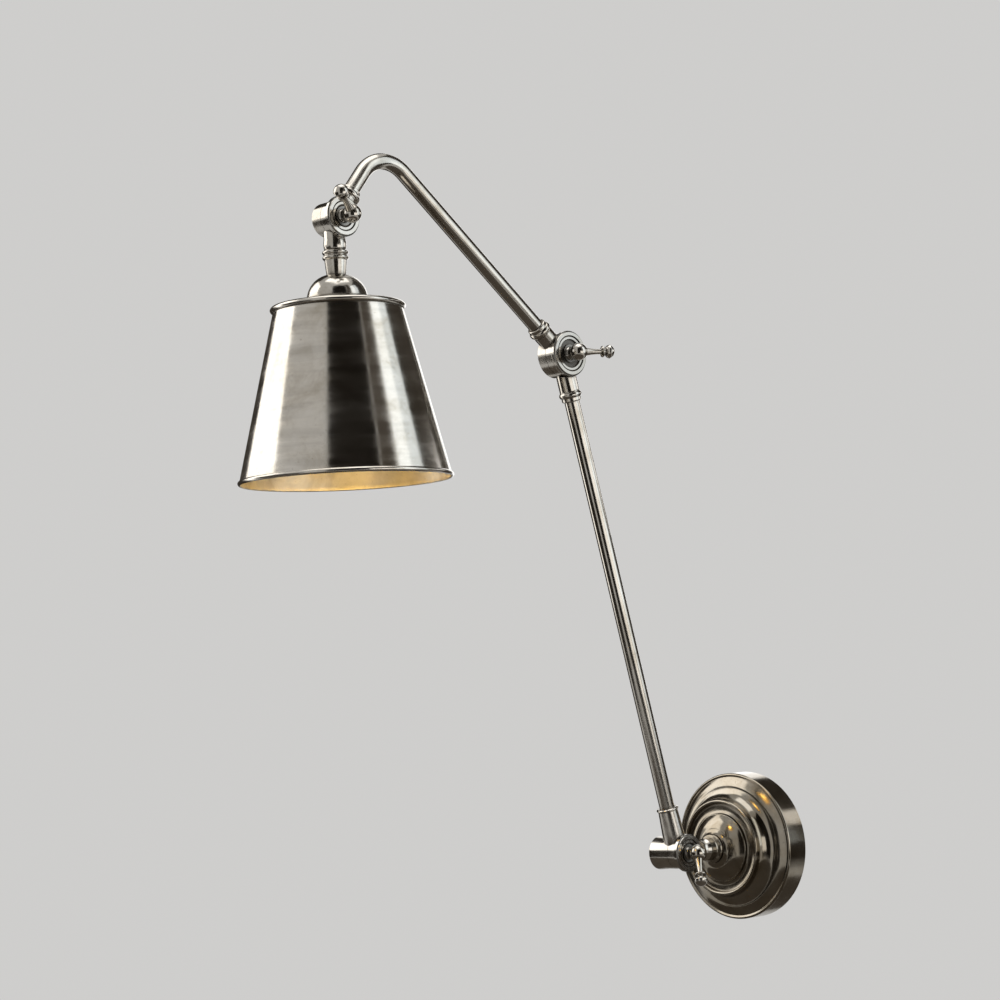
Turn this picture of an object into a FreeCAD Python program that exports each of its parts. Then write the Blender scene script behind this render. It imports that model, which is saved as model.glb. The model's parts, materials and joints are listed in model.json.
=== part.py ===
import FreeCAD, Part
import math
import os
from types import SimpleNamespace

import Sketcher
from FreeCAD import Placement, Rotation, Vector

# An articulating wall lamp: a spun wall rose, two tube arms, three friction knuckles that all
# turn about X, each clamped by a lever screw, and a cone shade with its lampholder and bulb.
# Millimetres. The wall is the plane Y = 0, the lamp stands out to -Y, and +Z is up.
# A lean is an angle in the YZ plane: 0 is straight up, 90 is straight out from the wall.

DIMENSIONS = {
    # arms, pivot to pivot
    "base_standoff": 92.5,
    "lower_reach": 431.0,
    "lower_lean": 14.4,
    "upper_reach": 243.3,
    "upper_lean": 50.7,
    "drop_reach": 80.0,
    "drop_lean": 141.5,
    "bend_radius": 30.0,
    "tube_radius": 6.35,
    "tube_wall": 1.2,
    "flex_radius": 2.6,
    "wire_hole": 3.4,
    "fit": 0.05,
    # wall rose
    "rose_radius": 62.5,
    "rose_side": 20.6,
    "rose_sheet": 1.2,
    "rose_cove": 11.4,
    "ring_radius": 39.4,
    "ring_height": 39.2,
    "boss_radius": 28.7,
    "boss_height": 48.0,
    "collar_radius": 12.2,
    "collar_height": 5.5,
    # bracket, nipple and nuts behind the rose
    "strap_width": 16.0,
    "strap_sheet": 2.0,
    "strap_raise": 8.0,
    "strap_middle": 17.0,
    "strap_riser": 3.0,
    "strap_end": 46.0,
    "slot_spacing": 60.0,
    "slot_length": 12.0,
    "slot_radius": 2.3,
    "tab_width": 18.0,
    "tab_reach": 36.0,
    "nipple_radius": 5.0,
    "nipple_bore": 3.5,
    "nipple_tail": 2.5,
    "nipple_grip": 13.0,
    "nut_flats": 14.0,
    "nut_height": 4.0,
    "earth_place": 13.0,
    "earth_radius": 2.0,
    "earth_length": 6.0,
    "earth_head": 2.4,
    "block_width": 28.0,
    "block_height": 16.0,
    "block_depth": 10.0,
    "block_low": 15.0,
    "block_hole": 1.9,
    "block_screw": 8.0,
    # knuckles
    "knuckle_gap": 0.3,
    "swing_gap": 0.4,
    "washer_recess": 0.5,
    "washer_play": 0.1,
    "washer_clearance": 0.3,
    "boss_round": 6.0,
    "cavity_wall": 3.0,
    "cavity_depth": 4.6,
    "ring_band": 2.6,
    "groove_band": 1.2,
    "inner_band": 1.8,
    "groove_sink": 1.4,
    "face_sink": 2.0,
    "face_round": 1.3,
    "end_round": 2.0,
    "base_near": 14.0,
    "base_far": 22.0,
    "base_waist": 13.2,
    "base_end_radius": 13.9,
    "base_ring": 15.8,
    "elbow_near": 11.6,
    "elbow_far": 11.0,
    "elbow_barrel": 18.2,
    "elbow_ring": 18.9,
    "head_near": 12.9,
    "head_far": 12.1,
    "head_barrel": 13.2,
    "head_ring": 15.8,
    # necks and ferrules
    "tube_seat": 18.0,
    "post_neck": 7.5,
    "sleeve_root": 9.3,
    "sleeve_tip": 8.2,
    "sleeve_length": 40.0,
    "elbow_neck": 8.3,
    "lower_neck_length": 30.5,
    "upper_neck_length": 27.0,
    "ferrule_length": 8.8,
    "ferrule_bead": 9.4,
    "head_neck": 7.9,
    "head_neck_length": 21.0,
    "head_ferrule_bead": 9.9,
    # lever screws
    "screw_radius": 3.0,
    "screw_play": 0.05,
    "screw_end_gap": 1.0,
    "blind_wall": 3.0,
    "thrust_radius": 7.4,
    "thrust_thickness": 1.3,
    "hub_standoff": 9.0,
    "hub_radius": 7.25,
    "hub_neck": 4.6,
    "lever_tilt": 25.0,
    "lever_seat": 6.3,
    "lever_root": 3.4,
    "lever_waist": 2.1,
    "lever_length": 31.0,
    "lever_bead": 4.4,
    "lever_knob": 5.8,
    "lever_pin": 1.8,
    "lever_pin_length": 3.5,
    "base_lever_lean": 154.0,
    "elbow_lever_lean": 270.0,
    "head_lever_lean": 56.0,
    # shade and what hangs in it, measured down from the head pivot
    "stem_radius": 8.4,
    "stem_bead": 10.3,
    "stem_joint": 24.6,
    "cap_drop": 44.0,
    "cap_radius": 23.6,
    "cap_height": 17.4,
    "cap_sheet": 1.2,
    "lid_rise": 7.0,
    "lid_radius": 49.2,
    "lid_bead": 2.9,
    "shade_sheet": 0.9,
    "shade_height": 133.2,
    "shade_mouth": 80.2,
    "rim_bead": 1.8,
    "shade_washer": 1.0,
    "shade_grip": 9.0,
    "holder_radius": 19.4,
    "holder_cap_height": 17.0,
    "holder_boss": 10.0,
    "holder_sheet": 1.6,
    "holder_length": 30.0,
    "holder_bore": 13.6,
    "holder_floor": 3.0,
    "contact_radius": 4.6,
    "contact_height": 2.0,
    "skirt_radius": 21.6,
    "skirt_height": 11.0,
    "bulb_cap_radius": 13.0,
    "bulb_cap_length": 22.0,
    "bulb_cap_sheet": 0.5,
    "bulb_tip": 4.5,
    "bulb_grip": 5.0,
    "bulb_radius": 27.5,
    "bulb_length": 66.0,
    "bulb_wall": 1.0,
}


class Size:
    """A size of the sheet, or one worked out from such sizes, as a number and an expression."""

    def __init__(self, value, text):
        self.value = value
        self.text = text

    def __add__(self, other):
        other = as_size(other)
        return Size(self.value + other.value, f"({self.text} + {other.text})")

    def __sub__(self, other):
        other = as_size(other)
        return Size(self.value - other.value, f"({self.text} - {other.text})")

    def __rsub__(self, other):
        return as_size(other) - self

    def __mul__(self, other):
        other = as_size(other)
        return Size(self.value * other.value, f"({self.text} * {other.text})")

    def __truediv__(self, other):
        other = as_size(other)
        return Size(self.value / other.value, f"({self.text} / {other.text})")

    def __neg__(self):
        return Size(-self.value, f"(-{self.text})")

    __radd__ = __add__
    __rmul__ = __mul__


def as_size(number):
    return number if isinstance(number, Size) else Size(float(number), str(float(number)))


def sine(angle):
    return Size(math.sin(math.radians(angle.value)), f"sin({angle.text} * 1deg)")


def cosine(angle):
    return Size(math.cos(math.radians(angle.value)), f"cos({angle.text} * 1deg)")


def tangent(angle):
    return Size(math.tan(math.radians(angle.value)), f"tan({angle.text} * 1deg)")


doc = FreeCAD.newDocument("wall_lamp")
sheet = doc.addObject("Spreadsheet::Sheet", "dims")
for row, (word, number) in enumerate(DIMENSIONS.items(), start=1):
    sheet.set(f"A{row}", word)
    sheet.set(f"B{row}", str(number))
    sheet.setAlias(f"B{row}", word)
doc.recompute()


d = SimpleNamespace(
    **{word: Size(float(number), f"dims.{word}") for word, number in DIMENSIONS.items()}
)

# ---------------------------------------------------------------- places of the frame


def direction(lean):
    angle = math.radians(lean)
    return Vector(0, -math.sin(angle), math.cos(angle))


def leaning(place, lean):
    """A placement at place whose Z points along a lean and whose X stays along the pivots."""
    return Placement(place, Rotation(Vector(1, 0, 0), lean))


STRAIGHT_OUT = 90.0
STRAIGHT_IN = 270.0
DOWN = 180.0

base_pivot = Vector(0, -d.base_standoff.value, 0)
elbow_pivot = base_pivot + direction(d.lower_lean.value) * d.lower_reach.value
bend_corner = elbow_pivot + direction(d.upper_lean.value) * d.upper_reach.value
head_pivot = bend_corner + direction(d.drop_lean.value) * d.drop_reach.value

AT_WALL = leaning(Vector(0, 0, 0), STRAIGHT_OUT)
BASE_TO_WALL = leaning(base_pivot, STRAIGHT_IN)
BASE_TO_ELBOW = leaning(base_pivot, d.lower_lean.value)
ELBOW_TO_BASE = leaning(elbow_pivot, d.lower_lean.value + DOWN)
ELBOW_TO_BEND = leaning(elbow_pivot, d.upper_lean.value)
HEAD_TO_BEND = leaning(head_pivot, d.drop_lean.value + DOWN)
HEAD_DOWN = leaning(head_pivot, DOWN)

# ---------------------------------------------------------------- makers of bodies and features

nodes = []


def new_body(label, place, is_node=True):
    """A body at a placement; most bodies are sub-parts, a few only cut one."""
    body = doc.addObject("PartDesign::Body", label)
    body.Placement = place
    if is_node:
        nodes.append(body)
    return body


def origin_plane(body, role):
    return next(f for f in body.Origin.OriginFeatures if f.Role == role)


def arc_between(start, end, bend):
    """The arc of radius |bend| from start to end, which turns left where bend is positive."""
    chord = end - start
    half = chord.Length / 2
    reach = math.sqrt(max(bend * bend - half * half, 0.0))
    left = Vector(-chord.y, chord.x, 0).normalize()
    centre = start + chord / 2 + left * math.copysign(reach, bend)
    first, last = (start, end) if bend > 0 else (end, start)
    first_angle = math.atan2(first.y - centre.y, first.x - centre.x)
    last_angle = math.atan2(last.y - centre.y, last.x - centre.x)
    if last_angle < first_angle:
        last_angle += 2 * math.pi
    circle = Part.Circle(centre, Vector(0, 0, 1), abs(bend))
    return Part.ArcOfCircle(circle, first_angle, last_angle)


def bind(sketch, constraint, size):
    """Add a sketch constraint and tie its size to the sheet."""
    index = sketch.addConstraint(constraint)
    if "dims." in size.text:
        sketch.setExpression(f"Constraints[{index}]", size.text)


def draw(body, name, corners, plane="XZ_Plane", closed=True):
    """A sketch through corners (across, up) or (across, up, bend of the arc that ends there)."""
    sketch = body.newObject("Sketcher::SketchObject", f"{body.Label}_{name}")
    sketch.AttachmentSupport = [(origin_plane(body, plane), "")]
    sketch.MapMode = "FlatFace"
    sizes = [[as_size(size) for size in corner] for corner in corners]
    points = [Vector(size[0].value, size[1].value, 0) for size in sizes]
    steps = range(len(sizes)) if closed else range(1, len(sizes))
    ends = []
    for step in steps:
        start, end = points[step - 1], points[step]
        if len(sizes[step]) == 3:
            bend = sizes[step][2]
            geometry = sketch.addGeometry(arc_between(start, end, bend.value), False)
            radius = bend if bend.value > 0 else -bend
            bind(sketch, Sketcher.Constraint("Radius", geometry, radius.value), radius)
            ends.append((geometry, 1, 2) if bend.value > 0 else (geometry, 2, 1))
        else:
            geometry = sketch.addGeometry(Part.LineSegment(start, end), False)
            ends.append((geometry, 1, 2))
    for here, step in enumerate(steps):
        geometry, _, last = ends[here]
        if closed or here + 1 < len(ends):
            following = ends[(here + 1) % len(ends)]
            sketch.addConstraint(
                Sketcher.Constraint("Coincident", geometry, last, following[0], following[1])
            )
        place_corner(sketch, geometry, last, sizes[step])
    if not closed:
        place_corner(sketch, ends[0][0], ends[0][1], sizes[0])
    return sketch


def place_corner(sketch, geometry, vertex, size):
    across = Sketcher.Constraint("DistanceX", geometry, vertex, size[0].value)
    bind(sketch, across, size[0])
    up = Sketcher.Constraint("DistanceY", geometry, vertex, size[1].value)
    bind(sketch, up, size[1])


def ring(body, name, across, up, radius, plane="XY_Plane"):
    """A sketch that holds one circle."""
    sketch = body.newObject("Sketcher::SketchObject", f"{body.Label}_{name}")
    sketch.AttachmentSupport = [(origin_plane(body, plane), "")]
    sketch.MapMode = "FlatFace"
    across, up, radius = as_size(across), as_size(up), as_size(radius)
    circle = Part.Circle(Vector(across.value, up.value, 0), Vector(0, 0, 1), radius.value)
    geometry = sketch.addGeometry(circle, False)
    place_corner(sketch, geometry, 3, (across, up))
    bind(sketch, Sketcher.Constraint("Radius", geometry, radius.value), radius)
    return sketch


def turn(body, name, corners, about="V_Axis", cut=False):
    """Turn an outline about the body's Z (V_Axis) or X (H_Axis), to add it or to cut it away."""
    sketch = draw(body, f"{name}_outline", corners)
    kind = "PartDesign::Groove" if cut else "PartDesign::Revolution"
    feature = body.newObject(kind, f"{body.Label}_{name}")
    feature.Profile = sketch
    feature.ReferenceAxis = (sketch, [about])
    feature.Angle = 360
    body.Tip = feature
    return feature


def extrude(body, name, sketch, length, cut=False, both_sides=False, reverse=False):
    kind = "PartDesign::Pocket" if cut else "PartDesign::Pad"
    feature = body.newObject(kind, f"{body.Label}_{name}")
    feature.Profile = sketch
    length = as_size(length)
    feature.Length = length.value
    if "dims." in length.text:
        feature.setExpression("Length", length.text)
    feature.SideType = "Symmetric" if both_sides else "One side"
    feature.Reversed = reverse
    body.Tip = feature
    return feature


def turned(label, place, corners, about="V_Axis"):
    """A sub-part that is one turned outline."""
    body = new_body(label, place)
    turn(body, "turned", corners, about)
    return body


def band(low, high, inner, outer):
    """The outline of a plain ring or bush about Z, from low to high."""
    return [(inner, low), (outer, low), (outer, high), (inner, high)]


def side_band(near, far, inner, outer):
    """The outline of a plain ring or bush about X, from near to far."""
    return [(near, inner), (far, inner), (far, outer), (near, outer)]


# ---------------------------------------------------------------- wall rose and its fixings


def wall_rose():
    """A spun dish: drum side, cove, raised ring, dished band and a boss that rises to the post."""
    sheet_metal = d.rose_sheet
    side = d.rose_side
    cove_foot = d.ring_radius + 1.6 + d.rose_cove
    cove_top = side + 3.8 + d.rose_cove
    ring_side = d.ring_radius + 1.6
    ring_base = d.ring_height - 1.0
    dish_edge = d.ring_radius - 2.2
    boss = d.boss_radius
    outside = [
        (d.rose_radius, 0),
        (d.rose_radius, side - 1.4),
        (d.rose_radius - 1.6, side + 0.8, 1.7),
        (d.rose_radius - 3.0, side + 0.2),
        (cove_foot, side + 3.8, 26.0),
        (ring_side, cove_top, -(d.rose_cove + 0.01)),
        (ring_side, ring_base),
        (d.ring_radius - 1.6, ring_base, 1.7),
        (dish_edge, d.ring_height - 3.0),
        (boss + 0.7, d.ring_height - 2.4, -10.0),
        (boss + 0.3, d.ring_height - 0.4),
        (boss - 0.6, d.ring_height + 0.2, 0.7),
        (boss - 11.0, d.boss_height - 2.6, 26.0),
        (d.collar_radius + 0.4, d.boss_height, -8.0),
    ]
    inside = [
        (d.nipple_radius + 4 * d.fit, d.boss_height),
        (d.nipple_radius + 4 * d.fit, d.boss_height - sheet_metal),
        (d.collar_radius - 0.2, d.boss_height - sheet_metal),
        (boss - 11.6, d.boss_height - 2.6 - sheet_metal, 8.0),
        (boss - 1.6, d.ring_height - 1.4, -25.0),
        (boss - 0.4, d.ring_height - 3.8),
        (dish_edge - 0.6, d.ring_height - 4.4, 10.0),
        (ring_side - sheet_metal, cove_top - 0.2),
        (cove_foot, side + 3.8 - sheet_metal, d.rose_cove + sheet_metal + 0.02),
        (d.rose_radius - 3.0, side + 0.2 - sheet_metal, -25.0),
        (d.rose_radius - sheet_metal, side - 2.0),
        (d.rose_radius - sheet_metal, 0),
    ]
    turned("wall_rose", AT_WALL, outside + inside)


def mounting_bracket():
    """A joggled steel strap: two slotted feet on the wall, a raised middle and a tab."""
    body = new_body("mounting_bracket", AT_WALL)
    low, high = d.strap_raise, d.strap_raise + d.strap_sheet
    middle, foot = d.strap_middle, d.strap_middle + d.strap_riser
    end, sheet_metal = d.strap_end, d.strap_sheet
    profile = [
        (-end, 0),
        (-foot, 0),
        (-middle, low),
        (middle, low),
        (foot, 0),
        (end, 0),
        (end, sheet_metal),
        (foot + 1.0, sheet_metal),
        (middle + 1.0, high),
        (-(middle + 1.0), high),
        (-(foot + 1.0), sheet_metal),
        (-end, sheet_metal),
    ]
    extrude(body, "strap", draw(body, "strap_profile", profile), d.strap_width, both_sides=True)
    tab = draw(
        body,
        "tab_profile",
        [
            (-(d.tab_width / 2), low),
            (d.tab_width / 2, low),
            (d.tab_width / 2, high),
            (-(d.tab_width / 2), high),
        ],
    )
    extrude(body, "tab", tab, d.tab_reach, reverse=True)
    hole = ring(body, "nipple_hole", 0, 0, d.nipple_radius + 2 * d.fit)
    extrude(body, "nipple_cut", hole, high + 1.0, cut=True, reverse=True)
    earth = ring(body, "earth_hole", d.earth_place, 0, d.earth_radius + d.fit)
    extrude(body, "earth_cut", earth, high + 1.0, cut=True, reverse=True)
    straight = d.slot_length / 2 - d.slot_radius
    for side, hand in (("left", -1), ("right", 1)):
        centre = hand * d.slot_spacing / 2
        slot = draw(
            body,
            f"{side}_slot",
            [
                (centre + straight, -d.slot_radius),
                (centre + straight + d.slot_radius, 0, d.slot_radius),
                (centre + straight, d.slot_radius, d.slot_radius),
                (centre - straight, d.slot_radius),
                (centre - straight - d.slot_radius, 0, d.slot_radius),
                (centre - straight, -d.slot_radius, d.slot_radius),
            ],
            "XY_Plane",
        )
        extrude(body, f"{side}_slot_cut", slot, sheet_metal + 1.0, cut=True, reverse=True)


def hex_nut(label, place, low, is_node=True):
    """A hexagon nut on the nipple's thread, whose lower face is at low."""
    seat = place.multiply(Placement(Vector(0, 0, as_size(low).value), Rotation()))
    body = new_body(label, seat, is_node)
    long, short = d.nut_flats / math.sqrt(3), d.nut_flats / (2 * math.sqrt(3))
    flat = d.nut_flats / 2
    hexagon = [
        (long, 0), (short, flat), (-short, flat), (-long, 0), (-short, -flat), (short, -flat),
    ]
    extrude(body, "hexagon", draw(body, "hexagon_sides", hexagon, "XY_Plane"), d.nut_height)
    bore = band(-1.0, d.nut_height + 1.0, 0, d.nipple_radius + d.fit)
    turn(body, "bore", bore, cut=True)
    return body


def nipple_nuts():
    """The two lock nuts that clamp the nipple to the raised middle of the bracket."""
    low = d.strap_raise - d.nut_height
    high = d.strap_raise + d.strap_sheet
    group = doc.addObject("Part::Compound", "nipple_nuts")
    group.Links = [
        hex_nut("inner_nut", AT_WALL, low, is_node=False),
        hex_nut("outer_nut", AT_WALL, high, is_node=False),
    ]
    nodes.append(group)


def bracket_fittings():
    """The earth screw, and the terminal block on its tab with its six clamping screws."""
    top = d.strap_raise + d.strap_sheet
    head, shank = d.earth_radius * 1.75, d.earth_radius
    screw = [
        (0, top - d.earth_length), (shank, top - d.earth_length), (shank, top), (head, top),
        (head, top + d.earth_head), (0, top + d.earth_head),
    ]
    beside = AT_WALL.multiply(Placement(Vector(d.earth_place.value, 0, 0), Rotation()))
    turned("earth_screw", beside, screw)

    block = new_body("terminal_block", AT_WALL)
    half, low, high = d.block_width / 2, d.block_low, d.block_low + d.block_height
    face = draw(block, "base", [(-half, low), (half, low), (half, high), (-half, high)], "XY_Plane")
    extrude(block, "body", face, top + d.block_depth)
    under = draw(
        block,
        "under",
        [(-half - 1, low - 1), (half + 1, low - 1), (half + 1, high + 1), (-half - 1, high + 1)],
        "XY_Plane",
    )
    extrude(block, "seat", under, top, cut=True, reverse=True)
    screws = []
    for column in (-1, 0, 1):
        for row_name, row in (("lower", -1), ("upper", 1)):
            across = column * d.block_width / 3.2
            up = (low + high) / 2 + row * d.block_height / 4
            name = f"{row_name}_{('left', 'middle', 'right')[column + 1]}"
            hole = ring(block, f"{name}_hole", across, up, d.block_hole)
            extrude(block, f"{name}_cut", hole, top + d.block_depth + 1, cut=True, reverse=True)
            screw = doc.addObject("Part::Cylinder", f"{name}_terminal_screw")
            screw.setExpression("Radius", (d.block_hole - d.fit).text)
            screw.setExpression("Height", d.block_screw.text)
            spot = Vector(across.value, up.value, top.value)
            screw.Placement = AT_WALL.multiply(Placement(spot, Rotation()))
            screws.append(screw)
    group = doc.addObject("Part::Compound", "terminal_screws")
    group.Links = screws
    nodes.append(group)


def wall_fixings():
    """The hollow threaded nipple that joins bracket and post, and the turned collar between."""
    end = d.boss_height + d.collar_height + d.nipple_grip
    nipple = band(d.nipple_tail, end, d.nipple_bore, d.nipple_radius)
    turned("rose_nipple", AT_WALL, nipple)
    low, high = d.boss_height, d.boss_height + d.collar_height
    bore = d.nipple_radius + d.fit
    collar = [
        (bore, low),
        (d.collar_radius - 0.6, low),
        (d.collar_radius - 0.4, low + 0.6),
        (d.collar_radius - 0.4, low + 3.4, 1.9),
        (d.collar_radius - 2.6, low + 4.0),
        (d.collar_radius - 3.0, high),
        (bore, high),
    ]
    turned("rose_collar", AT_WALL, collar)


# ---------------------------------------------------------------- knuckles


def knuckle_half(label, place, side, length, barrel, neck, neck_bore, other_barrel, face=None):
    """One half of a knuckle: a hollow disc on the side (+1 near, -1 far) with a neck along Z.

    barrel is the disc's outline from the mating face outwards, as (along, radius) corners.
    The neck stands over both halves, so it is cut back from the other half's barrel.
    """
    body = new_body(label, place)
    split = d.knuckle_gap / 2
    disc = [(side * split, 0)] + [(side * c[0], *c[1:]) for c in barrel] + [(side * length, 0)]
    if side < 0:
        disc = [(c[0], c[1], -c[2]) if len(c) == 3 else c for c in disc]
    turn(body, "disc", disc, "H_Axis")
    turn(body, "neck", neck)
    root = d.sleeve_root + 6.0
    reach = other_barrel + d.swing_gap
    turn(body, "swing_cut", side_band(-side * root, side * split, 0, reach), "H_Axis", cut=True)
    inner = d.boss_round
    outer = barrel[0][1] - d.cavity_wall
    start = side * split
    cavity = side_band(start, side * (split + d.cavity_depth), inner, outer)
    turn(body, "wire_cavity", cavity, "H_Axis", cut=True)
    recess = side_band(start, side * (split + d.washer_recess), 0, inner)
    turn(body, "washer_recess", recess, "H_Axis", cut=True)
    depth = length + 1.0 if side > 0 else length - d.blind_wall
    hole = side_band(0, side * depth, 0, d.screw_radius + d.screw_play)
    turn(body, "screw_hole", hole, "H_Axis", cut=True)
    turn(body, "neck_bore", neck_bore, cut=True)
    if face:
        turn(body, "face_cut", face, "H_Axis", cut=True)
    return body


def ringed_face(length, ring_radius):
    """What is cut from a near face: a fine groove inside its outer ring, and the middle recess."""
    outer = ring_radius - d.ring_band - d.face_round
    inner = outer - d.groove_band
    well = inner - d.inner_band
    return [
        (length + 1.0, 0),
        (length - d.face_sink, 0),
        (length - d.face_sink, well),
        (length - 0.5, well),
        (length - 0.5, inner),
        (length - d.groove_sink, inner),
        (length - d.groove_sink, outer),
        (length + 1.0, outer),
    ]


def bored(seat, end, radius):
    """A neck's bore: the wire hole out of the cavity, then the wider seat up to the end."""
    wire = d.wire_hole
    return [
        (0, d.boss_round + 0.4), (wire, d.boss_round + 0.4), (wire, seat),
        (radius + d.fit, seat), (radius + d.fit, end + 1.0), (0, end + 1.0),
    ]


def near_barrel(length, barrel, ring_radius, flare):
    """A near half's outline: plain barrel, a flare that starts at flare, and a rounded ring."""
    shoulder = length - d.ring_band - d.face_round
    return [
        (d.knuckle_gap / 2, barrel),
        (flare, barrel),
        (shoulder, ring_radius),
        (length - d.face_round, ring_radius),
        (length, ring_radius - d.face_round, d.face_round),
    ]


def far_barrel(length, barrel, end_radius, flare):
    """A far half's outline: plain barrel, then a slight flare to a rounded end."""
    rounding = d.end_round
    return [
        (d.knuckle_gap / 2, barrel),
        (flare, barrel),
        (length - rounding - 1.0, end_radius),
        (length - rounding, end_radius),
        (length, end_radius - rounding, rounding),
    ]


def base_knuckle():
    """The post's far half, fixed to the wall, and the arm's near half with its tube sleeve."""
    post_end = d.base_standoff - d.boss_height - d.collar_height
    neck = d.post_neck
    post = [
        (0, 0), (neck, 0), (neck, post_end - 14.0), (neck + 1.9, post_end - 6.0, -9.0),
        (neck + 1.9, post_end), (0, post_end),
    ]
    seat = post_end - d.nipple_grip - 1.0
    far = far_barrel(d.base_far, d.base_waist, d.base_end_radius, d.sleeve_root + 0.8)
    knuckle_half(
        "base_post_knuckle", BASE_TO_WALL, -1, d.base_far, far, post,
        bored(seat, post_end, d.nipple_radius), d.base_waist,
    )
    length = d.sleeve_length
    sleeve = [
        (0, 0), (d.sleeve_root, 0), (d.sleeve_root, d.base_waist + 3.0),
        (d.sleeve_tip, length - 2.4), (d.sleeve_tip + 0.5, length - 2.2),
        (d.sleeve_tip + 0.5, length - 0.4, 1.0), (d.sleeve_tip, length), (0, length),
    ]
    near = near_barrel(d.base_near, d.base_waist, d.base_ring, d.sleeve_root - 1.3)
    knuckle_half(
        "base_arm_knuckle", BASE_TO_ELBOW, 1, d.base_near, near, sleeve,
        bored(d.tube_seat, length, d.tube_radius), d.base_waist,
        ringed_face(d.base_near, d.base_ring),
    )


def plain_neck(radius, length):
    return [(0, 0), (radius, 0), (radius, length), (0, length)]


def elbow_knuckle():
    """The lower arm's far half and the upper arm's near half."""
    barrel, neck = d.elbow_barrel, d.elbow_neck
    far = far_barrel(d.elbow_far, barrel, barrel, d.elbow_far - 5.0)
    knuckle_half(
        "elbow_lower_knuckle", ELBOW_TO_BASE, -1, d.elbow_far, far,
        plain_neck(neck, d.lower_neck_length),
        bored(d.tube_seat + 4.0, d.lower_neck_length, d.tube_radius), d.elbow_ring,
    )
    near = near_barrel(d.elbow_near, barrel, d.elbow_ring, d.elbow_near - 5.0)
    knuckle_half(
        "elbow_upper_knuckle", ELBOW_TO_BEND, 1, d.elbow_near, near,
        plain_neck(neck, d.upper_neck_length),
        bored(d.tube_seat + 4.0, d.upper_neck_length, d.tube_radius), barrel,
        ringed_face(d.elbow_near, d.elbow_ring),
    )


def head_knuckle():
    """The upper arm's near half and the shade's far half with the short neck of its stem."""
    barrel = d.head_barrel
    near = near_barrel(d.head_near, barrel, d.head_ring, d.stem_radius + 0.2)
    knuckle_half(
        "head_arm_knuckle", HEAD_TO_BEND, 1, d.head_near, near,
        plain_neck(d.head_neck, d.head_neck_length),
        bored(d.tube_seat - 1.0, d.head_neck_length, d.tube_radius), barrel,
        ringed_face(d.head_near, d.head_ring),
    )
    radius, end = d.stem_radius, d.stem_joint
    neck = [
        (0, 0), (radius, 0), (radius, end - 8.0), (radius, end - 1.0, 16.0),
        (radius - 0.6, end), (0, end),
    ]
    far = far_barrel(d.head_far, barrel, barrel, d.head_far - 4.0)
    knuckle_half(
        "head_stem_knuckle", HEAD_DOWN, -1, d.head_far, far, neck,
        bored(end - d.shade_grip - 1.0, end, d.nipple_radius), barrel,
    )


def friction_washers():
    """A friction washer between the bosses of each knuckle, carried by the far half."""
    reach = d.knuckle_gap / 2 + d.washer_recess
    hole, rim = d.screw_radius + d.washer_clearance, d.boss_round - d.washer_play
    places = {"base": BASE_TO_WALL, "elbow": ELBOW_TO_BASE, "head": HEAD_DOWN}
    for name, place in places.items():
        outline = side_band(-reach, reach - d.washer_play, hole, rim)
        turned(f"{name}_friction_washer", place, outline, "H_Axis")


# ---------------------------------------------------------------- arm tubes and ferrules


def ferrule(label, place, low, length, bead):
    """A turned ring that slides over the tube against the neck's end: bead, groove, lip."""
    bore = d.tube_radius + d.fit
    root = d.elbow_neck
    corners = [
        (bore, low),
        (root - 0.3, low),
        (root, low + 0.3),
        (root, low + 0.9),
        (bead - 0.9, low + 1.0),
        (bead - 0.9, low + length * 0.6, length * 0.33),
        (root - 0.2, low + length * 0.64),
        (root - 0.2, low + length - 0.7),
        (root - 0.9, low + length),
        (bore, low + length),
    ]
    turned(label, place, corners)


def lower_arm():
    """The straight tube, the ferrule below the elbow and the flex inside."""
    end = d.lower_reach - d.tube_seat - 4.0
    tube = band(d.tube_seat, end, d.tube_radius - d.tube_wall, d.tube_radius)
    turned("lower_arm_tube", BASE_TO_ELBOW, tube)
    ferrule("lower_ferrule", ELBOW_TO_BASE, d.lower_neck_length, d.ferrule_length, d.ferrule_bead)
    low, high = d.base_waist + 1.0, d.lower_reach - d.elbow_barrel - 1.0
    turned("lower_flex", BASE_TO_ELBOW, band(low, high, 0, d.flex_radius))


def bent_path(body, name, start, stop):
    """The upper arm's centre line from start, round the bend, to stop short of the head pivot."""
    turn_angle = d.drop_lean - d.upper_lean
    setback = d.bend_radius * tangent(turn_angle / 2)
    across, along = sine(turn_angle), cosine(turn_angle)
    last = d.drop_reach - stop
    corners = [
        (0, start),
        (0, d.upper_reach - setback),
        (-(setback * across), d.upper_reach + setback * along, d.bend_radius),
        (-(last * across), d.upper_reach + last * along),
    ]
    return draw(body, name, corners, "YZ_Plane", closed=False)


def sweep(body, name, radius, start, stop, cut=False):
    """A round section swept along the upper arm's centre line, to add it or to cut it away."""
    path = bent_path(body, f"{name}_path", start, stop)
    section = ring(body, f"{name}_section", 0, 0, radius)
    section.AttachmentOffset = Placement(Vector(0, 0, start.value), Rotation())
    section.setExpression("AttachmentOffset.Base.z", start.text)
    kind = "PartDesign::SubtractivePipe" if cut else "PartDesign::AdditivePipe"
    pipe = body.newObject(kind, f"{body.Label}_{name}")
    pipe.Profile = section
    pipe.Spine = path
    body.Tip = pipe


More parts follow.
